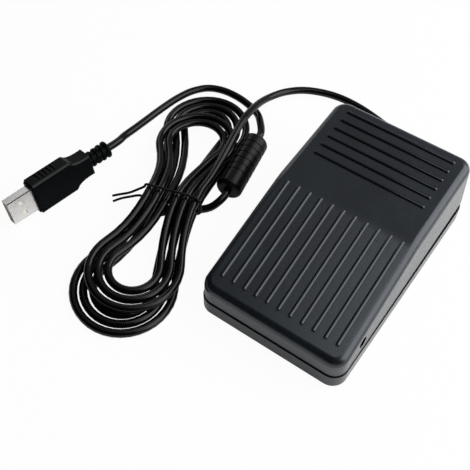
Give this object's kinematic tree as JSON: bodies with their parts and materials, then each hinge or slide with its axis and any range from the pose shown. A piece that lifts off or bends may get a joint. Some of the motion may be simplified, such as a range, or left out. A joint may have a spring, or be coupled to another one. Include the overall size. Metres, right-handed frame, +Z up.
{
  "type": "usb foot pedal switch",
  "caption": "Charcoal foot pedal with a ribbed rocking cover on a low tray, its black USB cable tied in a hank, with a ferrite sleeve and a USB-A plug.",
  "frame": {"origin": "under the middle of the tray, on the floor that the feet stand on", "axes": "+Z up, +Y from the heel to the toe end where the cable leaves, +X to the right of the foot"},
  "size_m": [0.1593, 0.1687, 0.0351],
  "materials": {
    "cover_plastic": "fine spark-eroded texture, charcoal",
    "tray_plastic": "fine texture, charcoal",
    "foot_rubber": "matt black",
    "pin_steel": "plain ground steel",
    "board_laminate": "green solder mask",
    "screw_steel": "zinc plated",
    "chip_black": "moulded package",
    "can_metal": "drawn can",
    "capacitor_sleeve": "dark blue sleeve",
    "ivory_plastic": "natural white",
    "switch_plastic": "dark grey moulding",
    "brass": "plated contact",
    "plunger_red": "red button",
    "wire_jacket": "yellow jacket",
    "core_jacket": "coloured cores",
    "cap_plastic": "natural acetal",
    "spring_steel": "spring wire",
    "grommet_rubber": "soft black",
    "cable_jacket": "smooth black jacket",
    "tie_jacket": "black coated wire",
    "sleeve_plastic": "black moulded sleeve",
    "ferrite": "sintered ferrite",
    "plug_plastic": "black moulding",
    "shell_metal": "nickel plated"
  },
  "bodies": {
    "base": {"base_tray": "tray_plastic", "rubber_feet": "foot_rubber", "hinge_pin": "pin_steel", "circuit_board": "board_laminate", "board_screws": "screw_steel", "control_chip": "chip_black", "crystal_can": "can_metal", "board_capacitors": "capacitor_sleeve", "wire_header": "ivory_plastic", "switch_body": "switch_plastic", "switch_terminals": "brass", "switch_screws": "screw_steel", "switch_wires": "wire_jacket", "cable_wires": "core_jacket", "cord_clamp": "tray_plastic", "clamp_screws": "screw_steel", "return_spring": "spring_steel", "cable_grommet": "grommet_rubber", "usb_lead_pedal": "cable_jacket", "cable_hank": "cable_jacket", "usb_lead_plug": "cable_jacket", "twist_tie": "tie_jacket", "ferrite_sleeve": "sleeve_plastic", "ferrite_core": "ferrite", "plug_overmould": "plug_plastic", "plug_strain_relief": "plug_plastic", "usb_shell": "shell_metal", "usb_tongue": "ivory_plastic", "usb_contacts": "brass"},
    "pedal": {"pedal_cover": "cover_plastic"},
    "cap": {"spring_cap": "cap_plastic"},
    "plunger": {"switch_plunger": "plunger_red"}
  },
  "joints": [
    {"name": "pedal_press", "type": "hinge", "parent": "base", "child": "pedal", "pos_m": [0, -0.036, 0.0145], "axis": [-1, 0, 0], "range_deg": [0, 2.5], "stiffness_Nm_per_rad": 4, "springref_deg": -4.58},
    {"name": "spring_cap_slide", "type": "slide", "parent": "base", "child": "cap", "axis": [0, 0, -1], "range_m": [0, 0.0028], "deforming": ["return_spring"]},
    {"name": "plunger_slide", "type": "slide", "parent": "base", "child": "plunger", "axis": [0, 0, -1], "range_m": [0, 0.0014]}
  ],
  "couplings": [
    {"joint": "spring_cap_slide", "follows": "pedal_press", "m_per_rad": 0.064},
    {"joint": "plunger_slide", "follows": "pedal_press", "m_per_rad": 0.032}
  ]
}
